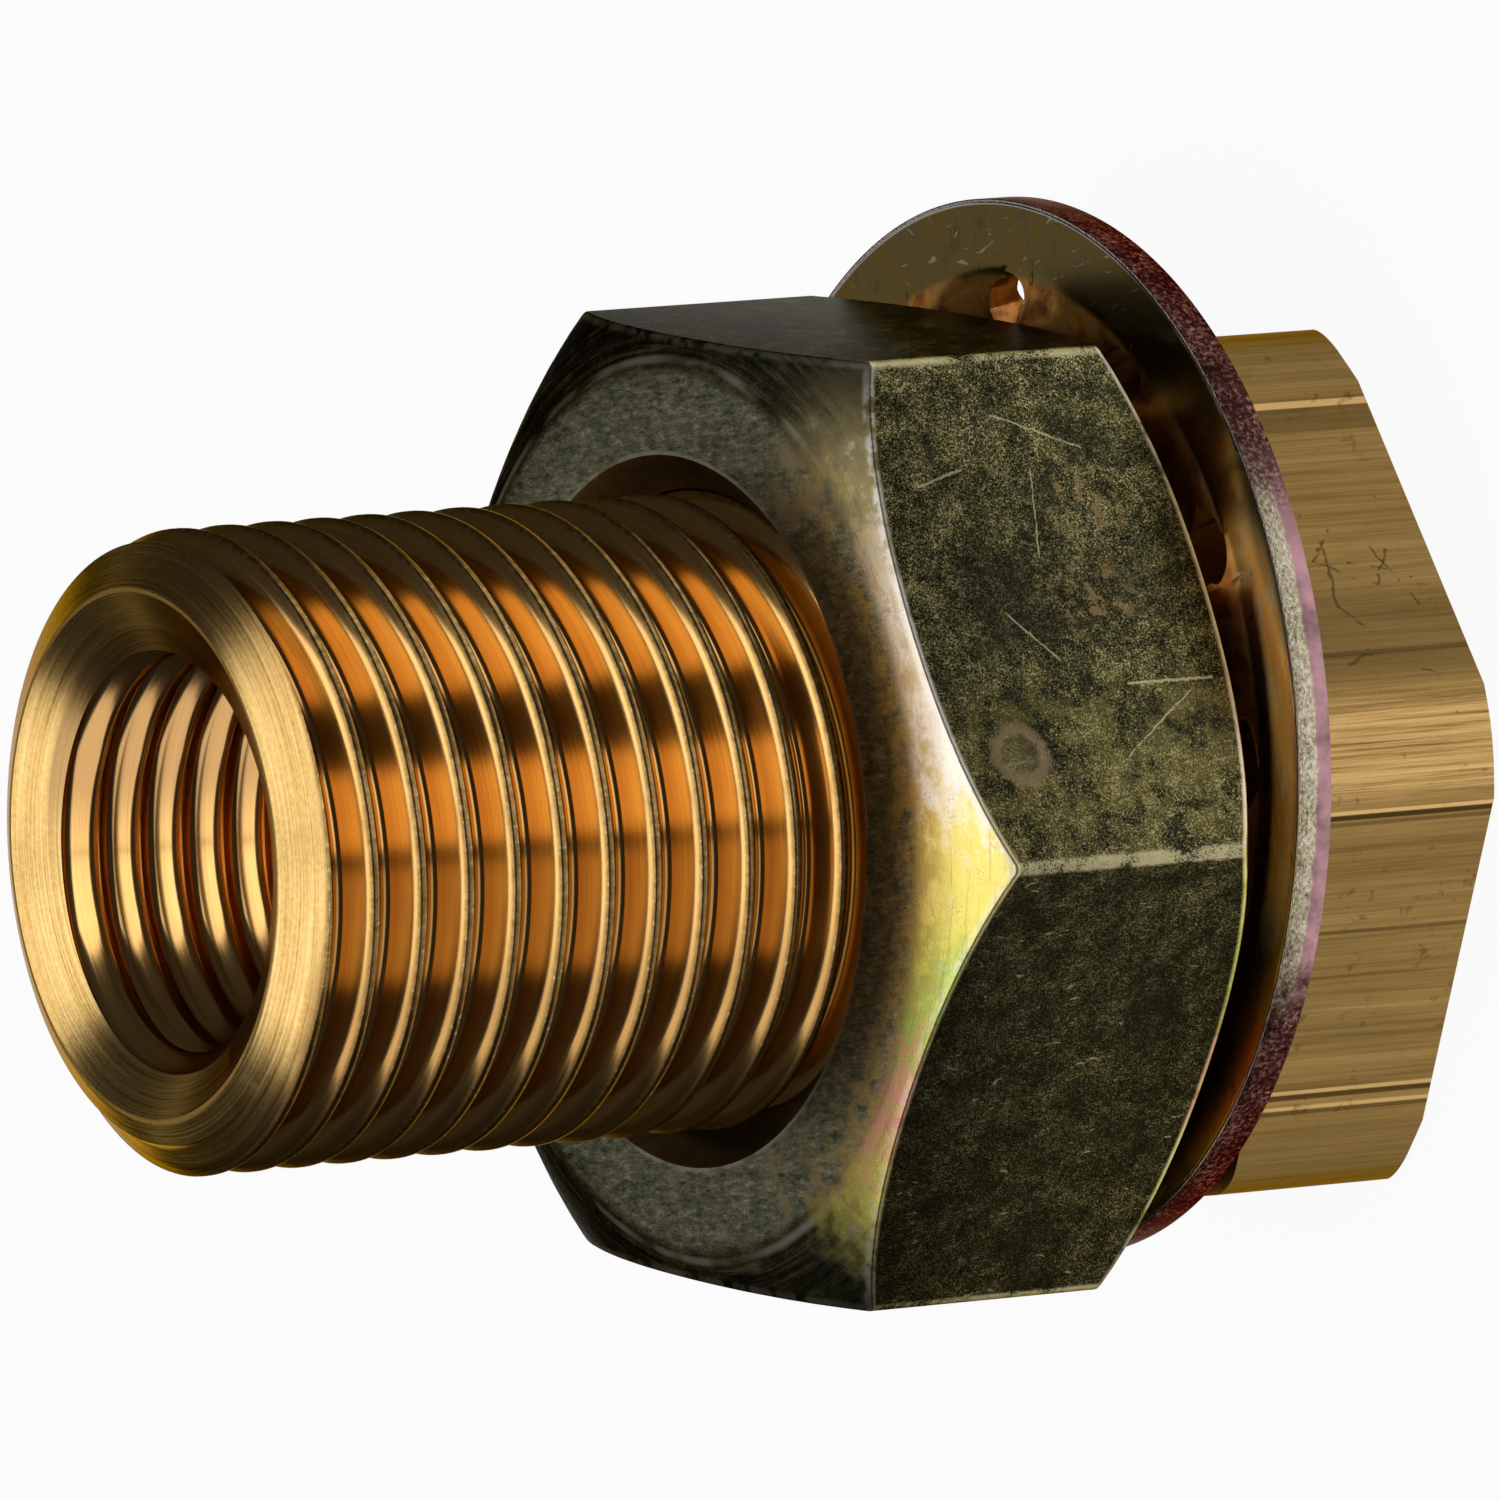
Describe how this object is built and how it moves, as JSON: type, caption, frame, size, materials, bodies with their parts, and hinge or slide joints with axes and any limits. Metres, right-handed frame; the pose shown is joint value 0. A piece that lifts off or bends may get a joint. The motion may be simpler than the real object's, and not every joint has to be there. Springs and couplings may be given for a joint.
{
  "type": "hydraulic adapter",
  "caption": "Brass bulkhead hydraulic adapter with a hex head, a long outside thread with a threaded port inside it, a hex lock nut and an internal-tooth lock washer.",
  "frame": {"origin": "centre of the hex head's outer face, at the mouth of the rear port", "axes": "+Z along the body towards its open threaded end, +X through the middle of a flat of the hex head"},
  "size_m": [0.0326, 0.032, 0.0381],
  "materials": {
    "brass": "machined, satin on the hex",
    "nut_zinc": "yellow zinc plated",
    "washer_zinc": "yellow zinc plated, glossy"
  },
  "bodies": {
    "adapter": {"adapter_body": "brass"},
    "washer": {"lock_washer": "washer_zinc"},
    "nut": {"lock_nut": "nut_zinc"}
  },
  "joints": [
    {"name": "washer_slide", "type": "slide", "parent": "adapter", "child": "washer", "axis": [0, 0, 1], "range_m": [0, 0.01588]},
    {"name": "nut_turn", "type": "hinge", "parent": "washer", "child": "nut", "pos_m": [0, 0, 0.01418], "axis": [0, 0, 1], "range_deg": [0, 3600]}
  ],
  "couplings": [
    {"joint": "washer_slide", "follows": "nut_turn", "m_per_rad": 0.00025266}
  ]
}
